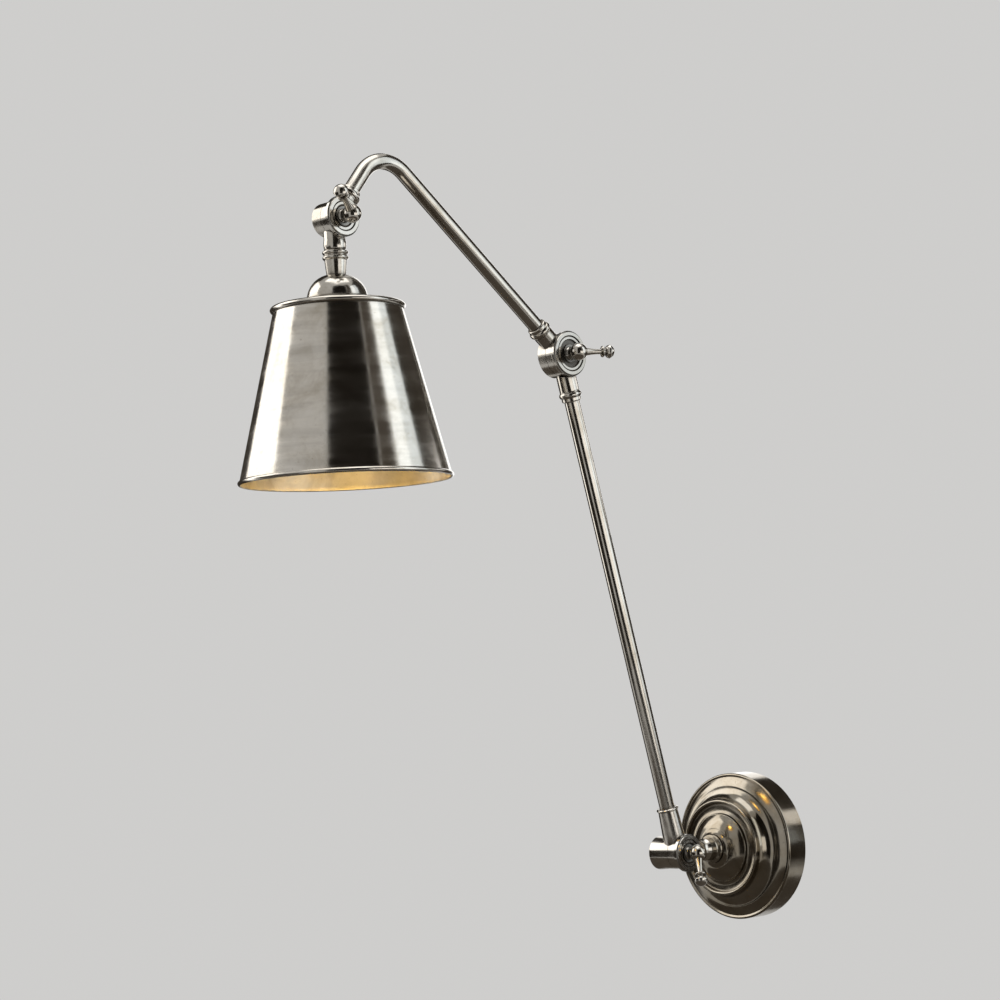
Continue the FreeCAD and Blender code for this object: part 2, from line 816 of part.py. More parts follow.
def upper_arm():
    """The bent tube, a ferrule at each end and the flex inside."""
    tube = new_body("upper_arm_tube", ELBOW_TO_BEND)
    start, stop = d.tube_seat + 4.0, d.tube_seat - 1.0
    sweep(tube, "tube", d.tube_radius, start, stop)
    sweep(tube, "bore", d.tube_radius - d.tube_wall, start, stop, cut=True)
    flex = new_body("upper_flex", ELBOW_TO_BEND)
    sweep(flex, "flex", d.flex_radius, d.elbow_barrel + 1.0, d.head_barrel + 1.0)
    ferrule("elbow_ferrule", ELBOW_TO_BEND, d.upper_neck_length, d.ferrule_length, d.ferrule_bead)
    ferrule(
        "head_ferrule", HEAD_TO_BEND, d.head_neck_length, d.ferrule_length, d.head_ferrule_bead
    )


# ---------------------------------------------------------------- lever screws


def lever_screw(name, place, near_length, far_length, lever_lean):
    """A clamp screw through both halves, its thrust washer and its turned lever handle."""
    face = near_length - d.face_sink
    hole, outer_face = d.screw_radius + d.washer_clearance, face + d.thrust_thickness
    thrust = side_band(face, outer_face, hole, d.thrust_radius)
    turned(f"{name}_thrust_washer", place, thrust, "H_Axis")

    pivot = place.Base
    lever_place = leaning(pivot, lever_lean.value)
    hub = near_length + d.hub_standoff
    start = outer_face + d.washer_play
    neck, ball, shank = d.hub_neck, d.hub_radius, d.screw_radius
    screw_end = -(far_length - d.blind_wall - d.screw_end_gap)
    screw = doc.addObject("PartDesign::Body", f"{name}_screw_blank")
    screw.Placement = lever_place
    turn(
        screw,
        "shank",
        [
            (screw_end, 0),
            (hub, 0),
            (hub, neck),
            (start + 1.2, neck),
            (start, neck + 1.0),
            (start, shank),
            (screw_end, shank),
        ],
        "H_Axis",
    )
    turn(screw, "ball", [(hub - ball, 0), (hub, ball, -ball), (hub + ball, 0, -ball)], "H_Axis")

    tilt = Rotation(Vector(0, 1, 0), d.lever_tilt.value)
    handle_place = lever_place.multiply(Placement(Vector(hub.value, 0, 0), tilt))
    seat_cut = doc.addObject("PartDesign::Body", f"{name}_lever_seat")
    seat_cut.Placement = handle_place
    low, pin_end = d.lever_seat, d.lever_seat - d.lever_pin_length - 0.3
    pin_hole = d.lever_pin + d.fit
    turn(
        seat_cut,
        "cutter",
        [
            (0, pin_end), (pin_hole, pin_end), (pin_hole, low),
            (d.lever_root + 1.0, low), (d.lever_root + 1.0, ball + 1.0), (0, ball + 1.0),
        ],
    )
    cut = doc.addObject("Part::Cut", f"{name}_lever_screw")
    cut.Base = screw
    cut.Tool = seat_cut
    nodes.append(cut)

    waist, bead, knob = d.lever_waist, d.lever_bead, d.lever_knob
    tip = d.lever_length
    turned(
        f"{name}_lever_handle",
        handle_place,
        [
            (0, low - d.lever_pin_length),
            (d.lever_pin, low - d.lever_pin_length),
            (d.lever_pin, low),
            (d.lever_root, low),
            (waist, tip - 12.0, -60.0),
            (bead, tip - 10.8),
            (bead, tip - 9.4, 0.9),
            (waist + 0.5, tip - 8.6),
            (waist + 0.5, tip - 7.8),
            (knob, tip - 4.2, 4.6),
            (knob * 0.2, tip, 6.5),
            (0, tip),
        ],
    )


def lever_screws():
    lever_screw("base", BASE_TO_ELBOW, d.base_near, d.base_far, d.base_lever_lean)
    lever_screw("elbow", ELBOW_TO_BEND, d.elbow_near, d.elbow_far, d.elbow_lever_lean)
    lever_screw("head", HEAD_TO_BEND, d.head_near, d.head_far, d.head_lever_lean)


# ---------------------------------------------------------------- shade, lampholder and bulb

lid_drop = d.cap_drop + d.cap_height
nut_drop = lid_drop + d.shade_sheet + d.shade_washer
holder_drop = nut_drop + d.nut_height
cone_drop = lid_drop + d.lid_rise + d.lid_bead
mouth_drop = lid_drop + d.lid_rise + d.shade_height
shell_drop = holder_drop + d.holder_cap_height
contact_drop = shell_drop + d.holder_floor
bulb_drop = contact_drop + d.contact_height


def stem_and_cap():
    """The turned stem with its double bead, the half-ball cap and the nipple through both."""
    low, high = d.stem_joint, d.cap_drop
    bore, bead, neck = d.nipple_radius + d.fit, d.stem_bead, d.stem_radius
    stem = [
        (bore, low),
        (neck + 0.3, low),
        (bead - 1.2, low + 0.5),
        (bead - 1.2, low + 3.3, 1.5),
        (neck + 0.4, low + 3.9),
        (bead - 1.2, low + 4.5),
        (bead - 1.2, low + 7.3, 1.5),
        (neck + 0.2, low + 7.9),
        (neck - 0.9, high - 0.4),
        (neck - 1.2, high),
        (bore, high),
    ]
    turned("shade_stem", HEAD_DOWN, stem)

    top, sheet_metal, rim = d.cap_drop, d.cap_sheet, d.cap_radius
    cap = [
        (bore, top),
        (neck + 0.4, top),
        (rim - 0.6, lid_drop - 2.2, d.cap_height * 1.1),
        (rim, lid_drop),
        (rim - sheet_metal, lid_drop),
        (rim - sheet_metal - 0.6, lid_drop - 2.0),
        (neck, top + sheet_metal, -(d.cap_height * 1.03)),
        (bore, top + sheet_metal),
    ]
    turned("shade_cap", HEAD_DOWN, cap)
    grip = d.stem_joint - d.shade_grip
    end = holder_drop + d.holder_boss
    turned("shade_nipple", HEAD_DOWN, band(grip, end, d.nipple_bore, d.nipple_radius))


def shade():
    """The lid with its rolled edge, and the cone with its wired mouth."""
    sheet_metal, edge, bead = d.shade_sheet, d.lid_radius, d.lid_bead
    bore = d.nipple_radius + 2 * d.fit
    rim = lid_drop + d.lid_rise
    flat = d.cap_radius + 1.0
    lid = [
        (bore, lid_drop),
        (flat, lid_drop),
        (edge - bead * 0.9, rim - bead * 0.3, -60.0),
        (edge + bead * 0.9, rim + bead * 0.3, bead * 1.1),
        (edge + bead * 0.4, cone_drop, bead),
        (edge - bead, cone_drop),
        (edge - bead - 0.5, rim + sheet_metal * 0.8),
        (flat, lid_drop + sheet_metal, 60.0),
        (bore, lid_drop + sheet_metal),
    ]
    turned("shade_lid", HEAD_DOWN, lid)
    mouth, wire = d.shade_mouth, d.rim_bead
    cone = [
        (edge - sheet_metal / 2, cone_drop),
        (edge + sheet_metal / 2, cone_drop),
        (mouth, mouth_drop - 2 * wire),
        (mouth, mouth_drop, wire + 0.01),
        (mouth - sheet_metal, mouth_drop - 0.5, wire),
        (mouth - sheet_metal, mouth_drop - 2 * wire),
    ]
    turned("shade_cone", HEAD_DOWN, cone)


def shade_fixings():
    """Under the lid: the washer and the nut on the nipple."""
    low = lid_drop + d.shade_sheet
    bore = d.nipple_radius + d.fit
    turned("shade_washer", HEAD_DOWN, band(low, nut_drop, bore, d.nut_flats / 2 + 3.0))
    hex_nut("shade_nut", HEAD_DOWN, nut_drop)


def lampholder():
    """The holder's cap on the nipple, its insulating shell, its contact and its skirt ring."""
    radius, wall = d.holder_radius, d.holder_sheet
    bore = d.nipple_radius + d.fit
    low, high = holder_drop, shell_drop
    boss = low + d.holder_boss
    cap = [
        (bore, low),
        (bore + 3.0, low),
        (radius, low + d.holder_boss - 1.0, 14.0),
        (radius, high),
        (radius - wall, high),
        (radius - wall, boss),
        (bore, boss),
    ]
    turned("lampholder_cap", HEAD_DOWN, cap)
    end = high + d.holder_length
    shell = [
        (d.wire_hole, high),
        (radius, high),
        (radius, end),
        (d.holder_bore, end),
        (d.holder_bore, contact_drop),
        (d.wire_hole, contact_drop),
    ]
    turned("lampholder_shell", HEAD_DOWN, shell)
    turned("lampholder_contact", HEAD_DOWN, band(contact_drop, bulb_drop, 0, d.contact_radius))
    skirt = band(end - d.skirt_height, end, radius + d.fit, d.skirt_radius)
    turned("lampholder_skirt", HEAD_DOWN, skirt)


def bulb():
    """The screw cap and the pear-shaped glass, both hollow."""
    cap_radius, sheet_metal = d.bulb_cap_radius, d.bulb_cap_sheet
    low, high = bulb_drop, bulb_drop + d.bulb_cap_length
    cap = [
        (0, low),
        (d.bulb_tip, low),
        (d.bulb_tip, low + 1.6),
        (cap_radius - 3.0, low + 3.0),
        (cap_radius, low + 5.0),
        (cap_radius, high),
        (cap_radius - sheet_metal, high),
        (cap_radius - sheet_metal, low + 5.4),
        (cap_radius - 3.2, low + 3.6),
        (0, low + 3.6),
    ]
    turned("bulb_cap", HEAD_DOWN, cap)
    neck = cap_radius - sheet_metal - d.fit
    globe, wall = d.bulb_radius, d.bulb_wall
    start, end = high - d.bulb_grip, high + d.bulb_length
    centre = end - globe
    side = centre - globe * 0.6
    glass = [
        (neck - wall, start),
        (neck, start),
        (neck, high + 1.0),
        (globe * 0.8, side, -60.0),
        (globe, centre, globe),
        (0, end, globe),
        (0, end - wall),
        (globe - wall, centre, -(globe - wall)),
        (globe * 0.8 - wall * 0.8, side + wall * 0.6, -(globe - wall)),
        (neck - wall, high + 1.0 + wall, 60.0),
    ]
    turned("bulb_glass", HEAD_DOWN, glass)


def shade_flex():
    """The flex from the head knuckle through the nipple into the lampholder's cap."""
    turned("shade_flex", HEAD_DOWN, band(d.head_barrel + 1.0, shell_drop, 0, d.flex_radius))


def post_flex():
    """The flex from the base knuckle through the post and nipple to the space behind the rose."""
    end = d.base_standoff - d.base_waist - 1.0
    turned("post_flex", AT_WALL, band(1.0, end, 0, d.flex_radius))


wall_rose()
mounting_bracket()
nipple_nuts()
bracket_fittings()
wall_fixings()
base_knuckle()
elbow_knuckle()
head_knuckle()
friction_washers()
lower_arm()
upper_arm()
lever_screws()
stem_and_cap()
shade()
shade_fixings()
lampholder()
bulb()
shade_flex()
post_flex()
doc.recompute()

# ---------------------------------------------------------------- checks and files

for thing in doc.Objects:
    if "Invalid" in thing.State or "Error" in thing.State:
        raise RuntimeError(f"{thing.Label} failed: {thing.State}")
    if thing.TypeId in ("PartDesign::Groove", "PartDesign::Pocket", "PartDesign::SubtractivePipe"):
        if thing.BaseFeature.Shape.Volume - thing.Shape.Volume < 1e-3:
            raise RuntimeError(f"{thing.Label} cuts nothing")

os.makedirs("parts", exist_ok=True)
for node in nodes:
    if node.Shape.isNull() or not node.Shape.isValid() or not node.Shape.Solids:
        raise RuntimeError(f"{node.Label} has no sound solid")
    node.Shape.exportStep(f"parts/{node.Label}.step")
    print(f"{node.Label}: {len(node.Shape.Solids)} solid, {node.Shape.Volume / 1000:.2f} cm3")
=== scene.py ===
import json
import math

import bmesh
import bpy
from mathutils import Matrix, Vector


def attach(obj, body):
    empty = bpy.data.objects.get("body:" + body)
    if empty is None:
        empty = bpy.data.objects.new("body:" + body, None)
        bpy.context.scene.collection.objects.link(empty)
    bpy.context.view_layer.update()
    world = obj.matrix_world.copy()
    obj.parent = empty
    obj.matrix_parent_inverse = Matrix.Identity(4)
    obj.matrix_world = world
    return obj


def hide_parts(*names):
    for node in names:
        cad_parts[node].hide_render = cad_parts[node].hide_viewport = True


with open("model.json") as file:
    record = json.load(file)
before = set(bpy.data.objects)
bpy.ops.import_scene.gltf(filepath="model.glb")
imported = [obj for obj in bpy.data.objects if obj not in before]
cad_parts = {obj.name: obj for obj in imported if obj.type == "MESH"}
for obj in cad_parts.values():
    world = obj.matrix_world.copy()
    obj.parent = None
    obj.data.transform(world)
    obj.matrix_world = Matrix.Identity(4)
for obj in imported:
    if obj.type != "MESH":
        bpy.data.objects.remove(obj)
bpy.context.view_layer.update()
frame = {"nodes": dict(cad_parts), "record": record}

MM = 0.001

# Places and sizes on the lamp, in millimetres. A lean is an angle in the YZ plane, in degrees:
# 0 is straight up, 90 straight out from the wall.
BASE_PIVOT = Vector((0, -92.5, 0))
ELBOW_PIVOT = Vector((0, -199.685, 417.459))
HEAD_PIVOT = Vector((0, -437.761, 508.952))
LOWER_LEAN = 14.4
UPPER_LEAN = 50.7
DROP_LEAN = 141.5
ELBOW_TO_CORNER = 243.3  # along the upper tube, to where its two straight runs would meet
CORNER_TO_HEAD = 80.0
BEND_RADIUS = 30.0
TUBE_RADIUS = 6.35
TUBE_BORE = 5.15  # the inner radius


def leaning(place, lean):
    """The matrix that stands a turned piece on a place, its own Z pointing along a lean."""
    return Matrix.Translation(place * MM) @ Matrix.Rotation(math.radians(lean), 4, "X")


AT_WALL = leaning(Vector((0, 0, 0)), 90)
BASE_TO_ELBOW = leaning(BASE_PIVOT, LOWER_LEAN)
ELBOW_TO_BASE = leaning(ELBOW_PIVOT, LOWER_LEAN + 180)
ELBOW_TO_BEND = leaning(ELBOW_PIVOT, UPPER_LEAN)
HEAD_TO_BEND = leaning(HEAD_PIVOT, DROP_LEAN + 180)
HEAD_DOWN = leaning(HEAD_PIVOT, 180)


# ------------------------------------------------------------------ finishes


TARNISH = (0.055, 0.040, 0.028)
BANDS_AT_SCALE_ONE = 3.2  # how many bands a metre a wave texture has
FINE_DEPTH = 0.0001  # of the marks of polishing and turning, in metres


def bare_tree(owner):
    """The emptied nodes and the links of a material or a world."""
    owner.use_nodes = True
    owner.node_tree.nodes.clear()
    return owner.node_tree.nodes, owner.node_tree.links


def finish_tree(name, metallic, roughness, **sockets):
    """A material with its shader and output, and the values that are the same all over."""
    material = bpy.data.materials.new(name)
    nodes, links = bare_tree(material)
    shader = nodes.new("ShaderNodeBsdfPrincipled")
    output = nodes.new("ShaderNodeOutputMaterial")
    links.new(shader.outputs["BSDF"], output.inputs["Surface"])
    shader.inputs["Metallic"].default_value = metallic
    shader.inputs["Roughness"].default_value = roughness
    for socket, value in sockets.items():
        shader.inputs[socket.replace("_", " ")].default_value = value
    return material, nodes, links, shader


def noise(nodes, links, vector, scale, detail, roughness, distortion=0.0):
    """A noise texture's grey."""
    texture = nodes.new("ShaderNodeTexNoise")
    texture.inputs["Scale"].default_value = scale
    texture.inputs["Detail"].default_value = detail
    texture.inputs["Roughness"].default_value = roughness
    texture.inputs["Distortion"].default_value = distortion
    links.new(vector, texture.inputs["Vector"])
    return texture.outputs["Fac"]


def ramp(nodes, links, value, stops):
    """Colours or greys along a value, as (position, colour) stops."""
    node = nodes.new("ShaderNodeValToRGB")
    while len(node.color_ramp.elements) < len(stops):
        node.color_ramp.elements.new(0.5)
    for element, (position, colour) in zip(node.color_ramp.elements, stops):
        element.position = position
        grey = isinstance(colour, (int, float))
        element.color = (colour, colour, colour, 1) if grey else (*colour, 1)
    links.new(value, node.inputs["Fac"])
    return node.outputs["Color"]


def mix_colour(nodes, links, share, first, second, blend="MIX"):
    """Two colours, or outputs that give them, mixed by a share of the second."""
    node = nodes.new("ShaderNodeMix")
    node.data_type = "RGBA"
    node.blend_type = blend
    for socket, value in (("Factor", share), ("A", first), ("B", second)):
        place = next(s for s in node.inputs if s.name == socket and s.enabled)
        if isinstance(value, bpy.types.NodeSocket):
            links.new(value, place)
        elif socket == "Factor":
            place.default_value = value
        else:
            place.default_value = (*value, 1)
    return next(s for s in node.outputs if s.enabled)


def sums(nodes, links, operation, first, second, third=None):
    """A sum on numbers or outputs."""
    node = nodes.new("ShaderNodeMath")
    node.operation = operation
    for index, value in enumerate((first, second, third)):
        if isinstance(value, bpy.types.NodeSocket):
            links.new(value, node.inputs[index])
        elif value is not None:
            node.inputs[index].default_value = value
    return node.outputs[0]


def piece_space(nodes, links, place=None, stretch=(1, 1, 1)):
    """Object coordinates, turned to a piece's own axis and stretched along it."""
    coordinates = nodes.new("ShaderNodeTexCoord")
    vector = coordinates.outputs["Object"]
    if place is not None:
        turn = nodes.new("ShaderNodeMapping")
        turn.vector_type = "TEXTURE"
        turn.inputs["Location"].default_value = place.to_translation()
        turn.inputs["Rotation"].default_value = place.to_euler()
        links.new(vector, turn.inputs["Vector"])
        vector = turn.outputs["Vector"]
    if stretch != (1, 1, 1):
        pull = nodes.new("ShaderNodeMapping")
        pull.inputs["Scale"].default_value = stretch
        links.new(vector, pull.inputs["Vector"])
        vector = pull.outputs["Vector"]
    return vector


def bumps(nodes, links, shader, layers):
    """Chained bumps, as (height, strength, distance) layers, into the shader."""
    normal = None
    for height, strength, distance in layers:
        bump = nodes.new("ShaderNodeBump")
        bump.inputs["Strength"].default_value = strength
        bump.inputs["Distance"].default_value = distance
        links.new(height, bump.inputs["Height"])
        if normal is not None:
            links.new(normal, bump.inputs["Normal"])
        normal = bump.outputs["Normal"]
    links.new(normal, shader.inputs["Normal"])


def recess(nodes, links, distance):
    """How openly a point lies: 1 in the open, 0 deep in a groove or corner."""
    shelter = nodes.new("ShaderNodeAmbientOcclusion")
    shelter.samples = 8
    shelter.inputs["Distance"].default_value = distance
    return shelter.outputs["AO"]


def aged_silver(
    name, place=None, stretch=(1, 1, 1), bright=0.54, tint=(1.0, 0.94, 0.84), lay=(900, 0.05),
    ring_pitch=None, satin=0.0, laps=0.12, shelter=0.0058,
):
    """Antiqued silver plate: bright on the rubbed surface, brown-grey in the grooves.

    place is where the piece stands, and stretch how its marks are drawn out along its axes.
    bright is how much light the plate gives back, tint how it has yellowed, lay the fine marks'
    scale and strength. ring_pitch, in metres, adds the marks of the turning tool. satin is how
    much duller than polished it is, laps how dark the polisher's marks are, and shelter how wide
    a groove may be, in metres, and still hold tarnish.
    """
    lay_scale, lay_strength = lay
    material, nodes, links, shader = finish_tree(name, metallic=1.0, roughness=0.2)
    plain = piece_space(nodes, links, place)
    lengthwise = piece_space(nodes, links, place, stretch)
    clouds = noise(nodes, links, plain, 38, 5, 0.6, 0.4)
    specks = noise(nodes, links, plain, 420, 3, 0.7)
    dull, worn, rubbed_bright = (
        tuple(bright * level * channel ** depth for channel in tint)
        for level, depth in ((0.76, 1.55), (1.0, 1.0), (1.10, 0.77))
    )
    rubbed = ramp(nodes, links, clouds, [(0.30, dull), (0.52, worn), (0.75, rubbed_bright)])
    spotted = ramp(nodes, links, specks, [(0.27, (0.50, 0.44, 0.36)), (0.36, (1, 1, 1))])
    colour = mix_colour(nodes, links, 0.6, rubbed, spotted, "MULTIPLY")
    smudges = noise(nodes, links, lengthwise, 60, 4, 0.6, 0.3)
    lapped = ramp(nodes, links, smudges, [(0.36, 1 - laps), (0.58, 1.0)])
    colour = mix_colour(nodes, links, 1.0, colour, lapped, "MULTIPLY")
    open_air = recess(nodes, links, shelter)
    tarnish = ramp(nodes, links, open_air, [(0.25, 1.0), (0.55, 0.78), (0.84, 0.0)])
    patchy = ramp(nodes, links, clouds, [(0.25, 1.0), (0.8, 0.65)])
    broken = sums(nodes, links, "MULTIPLY", tarnish, patchy)
    links.new(mix_colour(nodes, links, broken, colour, TARNISH), shader.inputs["Base Color"])
    levels = [(0.3, 0.10 + satin), (0.55, 0.16 + satin), (0.8, 0.26 + satin)]
    sheen = ramp(nodes, links, smudges, levels)
    roughness = sums(nodes, links, "MULTIPLY_ADD", broken, 0.34, sheen)
    links.new(roughness, shader.inputs["Roughness"])
    fine = noise(nodes, links, lengthwise, lay_scale, 2, 0.5)
    swells = noise(nodes, links, plain, 26, 2, 0.4)
    layers = [(swells, 0.10, 0.0012), (fine, lay_strength, FINE_DEPTH)]
    if ring_pitch:
        rings = nodes.new("ShaderNodeTexWave")
        rings.bands_direction = "Z"
        rings.inputs["Scale"].default_value = 1 / (ring_pitch * BANDS_AT_SCALE_ONE)
        rings.inputs["Distortion"].default_value = 0.4
        rings.inputs["Detail"].default_value = 1.0
        links.new(plain, rings.inputs["Vector"])
        layers.append((rings.outputs["Fac"], 0.03, FINE_DEPTH))
    bumps(nodes, links, shader, layers)
    return material


def plain_finish(name, colour, metallic, roughness, mark_scale, mark_strength, spread=0.12):
    """A quieter finish for inner parts: colour clouds, uneven gloss, a fine bump and painted shade in
    recesses.
    """
    material, nodes, links, shader = finish_tree(name, metallic, roughness)
    plain = piece_space(nodes, links)
    clouds = noise(nodes, links, plain, mark_scale / 6, 4, 0.6)
    low = tuple(max(c * (1 - spread), 0) for c in colour)
    high = tuple(min(c * (1 + spread), 1) for c in colour)
    shade = ramp(nodes, links, clouds, [(0.3, low), (0.7, high)])
    # painted shade: the colour goes darker in recesses and corners
    open_air = recess(nodes, links, distance=0.004)
    painted_recess_shade = ramp(nodes, links, open_air, [(0.3, 0.6), (0.9, 0.0)])
    dark = tuple(c * 0.35 for c in colour)
    links.new(mix_colour(nodes, links, painted_recess_shade, shade, dark), shader.inputs["Base Color"])
    gloss = ramp(nodes, links, clouds, [(0.3, max(roughness - 0.08, 0.03)), (0.75, roughness + 0.1)])
    links.new(gloss, shader.inputs["Roughness"])
    fine = noise(nodes, links, plain, mark_scale, 3, 0.6)
    bumps(nodes, links, shader, [(fine, mark_strength, 0.0002)])
    return material


def opal_bulb():
    """Opal glass that is lit from inside."""
    material, nodes, links, shader = finish_tree(
        "opal_glass", metallic=0.0, roughness=0.22, Emission_Strength=10.5,
    )
    plain = piece_space(nodes, links, HEAD_DOWN)
    clouds = noise(nodes, links, plain, 45, 3, 0.5)
    opal = ramp(nodes, links, clouds, [(0.3, (0.96, 0.90, 0.78)), (0.7, (1.0, 0.95, 0.86))])
    glow = ramp(nodes, links, clouds, [(0.3, (1.0, 0.62, 0.14)), (0.7, (1.0, 0.68, 0.18))])
    links.new(opal, shader.inputs["Base Color"])
    links.new(glow, shader.inputs["Emission Color"])
    bumps(nodes, links, shader, [(clouds, 0.04, 0.0004)])
    return material


# painted shade: the rose and its collar get a darker, browner copy of the same silver plate
SILVER_ROSE_PAINTED_SHADE = aged_silver(
    "silver_rose_painted_shade", AT_WALL, bright=0.33, tint=(1.0, 0.89, 0.72), ring_pitch=0.0011, shelter=0.0095,
)
SILVER_KNUCKLE = aged_silver("silver_knuckle", lay=(700, 0.05))
SILVER_LOWER = aged_silver("silver_lower_tube", BASE_TO_ELBOW, (1, 1, 0.05), lay=(500, 0.025))
SILVER_UPPER = aged_silver("silver_upper_tube", ELBOW_TO_BEND, (1, 1, 0.05), lay=(500, 0.025))
SILVER_STEM = aged_silver("silver_stem", HEAD_DOWN, ring_pitch=0.0009)
SILVER_SHADE = aged_silver(
    "silver_shade", HEAD_DOWN, (0.22, 0.22, 1.6), bright=0.60, lay=(320, 0.05), laps=0.15,
)
# a satin lining; its warmer, brighter tint is partly painted warm glow of the lit bulb
SILVER_INSIDE = aged_silver(
    "silver_inside", HEAD_DOWN, bright=0.80, tint=(1.0, 0.92, 0.76), lay=(500, 0.08), satin=0.34,
)
SILVER_LEVER = aged_silver("silver_lever", lay=(800, 0.05))
# painted shade: a much darker copy of the silver for the knuckles' wells, over their tarnish
SILVER_WELL_PAINTED_SHADE = aged_silver("silver_well_painted_shade", bright=0.13, lay=(800, 0.08), satin=0.16)
FINISHES = {
    "silver_body": SILVER_KNUCKLE,
    "silver_tube": SILVER_LOWER,
    "silver_shade": SILVER_SHADE,
    "silver_lever": SILVER_LEVER,
}
for slot_finish in (
    # slot, colour, metallic, roughness, the fine marks' scale and strength, spread of the colour
    ("zinc_steel", (0.62, 0.63, 0.64), 1.0, 0.36, 600, 0.1),
    ("bare_brass", (0.80, 0.58, 0.27), 1.0, 0.28, 500, 0.06),
    ("holder_insulation", (0.035, 0.032, 0.03), 0.0, 0.26, 900, 0.05),
    ("block_plastic", (0.80, 0.78, 0.70), 0.0, 0.45, 700, 0.08, 0.05),
    ("friction_fibre", (0.28, 0.12, 0.06), 0.0, 0.75, 1400, 0.3),
    ("thrust_steel", (0.24, 0.23, 0.21), 1.0, 0.34, 600, 0.1),
    ("flex_sheath", (0.04, 0.04, 0.04), 0.0, 0.5, 900, 0.1),
    ("bulb_metal", (0.78, 0.78, 0.77), 1.0, 0.3, 500, 0.06),
):
    FINISHES[slot_finish[0]] = plain_finish(*slot_finish)
FINISHES["opal_glass"] = opal_bulb()


def dress_nodes():
    """Give every carried-over part the finish of its slot, or its own."""
    own = {
        "wall_rose": SILVER_ROSE_PAINTED_SHADE, "rose_collar": SILVER_ROSE_PAINTED_SHADE, "upper_arm_tube": SILVER_UPPER,
        "shade_stem": SILVER_STEM, "shade_cap": SILVER_STEM,
    }
    for row in frame["record"]["subparts"]:
        node = frame["nodes"][row["node"]]
        finish = own.get(row["node"], FINISHES[row["material_slot"]])
        node.data.materials.clear()
        node.data.materials.append(finish)


dress_nodes()


# ------------------------------------------------------------------ shaping


ARC_STEP = 6  # the most degrees that one edge of an arc turns by, and an arc has three or more
SAME_PLACE = 2e-6  # corners this near, in metres, are one
# faces of the well and groove between these depths get painted shade
WELL_FROM, WELL_TO = 0.9, 2.6  # how far behind a ringed face its well and groove lie, in mm


def in_scene(name, data):
    """A new object in the scene."""
    made = bpy.data.objects.new(name, data)
    bpy.context.scene.collection.objects.link(made)
    return made


def mesh_of(name, shape):
    """The finished shape as a mesh."""
    mesh = bpy.data.meshes.new(name)
    shape.to_mesh(mesh)
    shape.free()
    return mesh


def add_piece(name, shape, finishes, body, slot, *stands_for):
    """Put a finished shape on its body; it stands for the frame's parts it replaces."""
    mesh = mesh_of(name, shape)
    for finish in finishes:
        mesh.materials.append(finish)
    mesh.shade_smooth()
    piece = in_scene(name, mesh)
    evener = piece.modifiers.new("even_normals", "WEIGHTED_NORMAL")
    evener.keep_sharp = True
    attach(piece, body)
    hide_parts(*stands_for)


def draw_outline(shape, corners):
    """A closed wire through corners, in mm.

    A corner is (across, up), or (across, up, bend) where an arc of that radius ends: its centre
    lies to the left of the way there, or to the right if the bend is below 0.
    """
    loop = corners + corners[:1]
    vertex = first = shape.verts.new((loop[0][0] * MM, 0, loop[0][1] * MM))
    for corner in loop[1:]:
        start = vertex.co.copy()
        end = Vector((corner[0] * MM, 0, corner[1] * MM))
        if len(corner) == 3:
            bend = corner[2] * MM
            chord = end - start
            half = chord.length / 2
            left = Vector((-chord.z, 0, chord.x)).normalized()
            aside = math.copysign(math.sqrt(max(bend * bend - half * half, 0)), bend)
            sweep = 2 * math.asin(min(half / abs(bend), 1))
            drawn = bmesh.ops.spin(
                shape, geom=[vertex], cent=start + chord / 2 + left * aside,
                axis=(0, math.copysign(1, -bend), 0), angle=sweep,
                steps=max(3, math.ceil(math.degrees(sweep) / ARC_STEP)),
            )["geom_last"]
        else:
            drawn = bmesh.ops.extrude_vert_indiv(shape, verts=[vertex])["verts"]
            bmesh.ops.translate(shape, vec=end - start, verts=drawn)
        vertex = next(v for v in drawn if isinstance(v, bmesh.types.BMVert))
        vertex.co = end
    bmesh.ops.weld_verts(shape, targetmap={vertex: first})


def soften(shape, width, sharper_than=28):
    """Round the edges that are sharper than an angle in degrees, by a width in mm."""
    sharp = [
        edge for edge in shape.edges
        if len(edge.link_faces) == 2 and edge.calc_face_angle(0) > math.radians(sharper_than)
    ]
    if sharp:
        bmesh.ops.bevel(
            shape, geom=sharp, offset=width * MM, segments=2, profile=0.5, affect="EDGES",
            material=-1, clamp_overlap=True,
        )


def spun(corners, segments, rounding):
    """A closed outline spun about Z, with its edges rounded by a width in mm."""
    shape = bmesh.new()
    draw_outline(shape, corners)
    bmesh.ops.spin(
        shape, geom=shape.edges[:], cent=(0, 0, 0), axis=(0, 0, 1), angle=math.tau,
        steps=segments, use_merge=True,
    )
    bmesh.ops.remove_doubles(shape, verts=shape.verts, dist=SAME_PLACE)
    on_axis = [edge for edge in shape.edges if not edge.link_faces]
    bmesh.ops.delete(shape, geom=on_axis, context="EDGES")
    bmesh.ops.recalc_face_normals(shape, faces=shape.faces)
    soften(shape, rounding)
    return shape


def turned(name, corners, place, body, slot, finish, stands_for, segments=72, rounding=0.15):
    """A piece turned on the lathe and stood on its place, for one part of the frame."""
    shape = spun(corners, segments, rounding)
    bmesh.ops.transform(shape, matrix=place, verts=shape.verts)
    add_piece(name, shape, [finish], body, slot, stands_for)


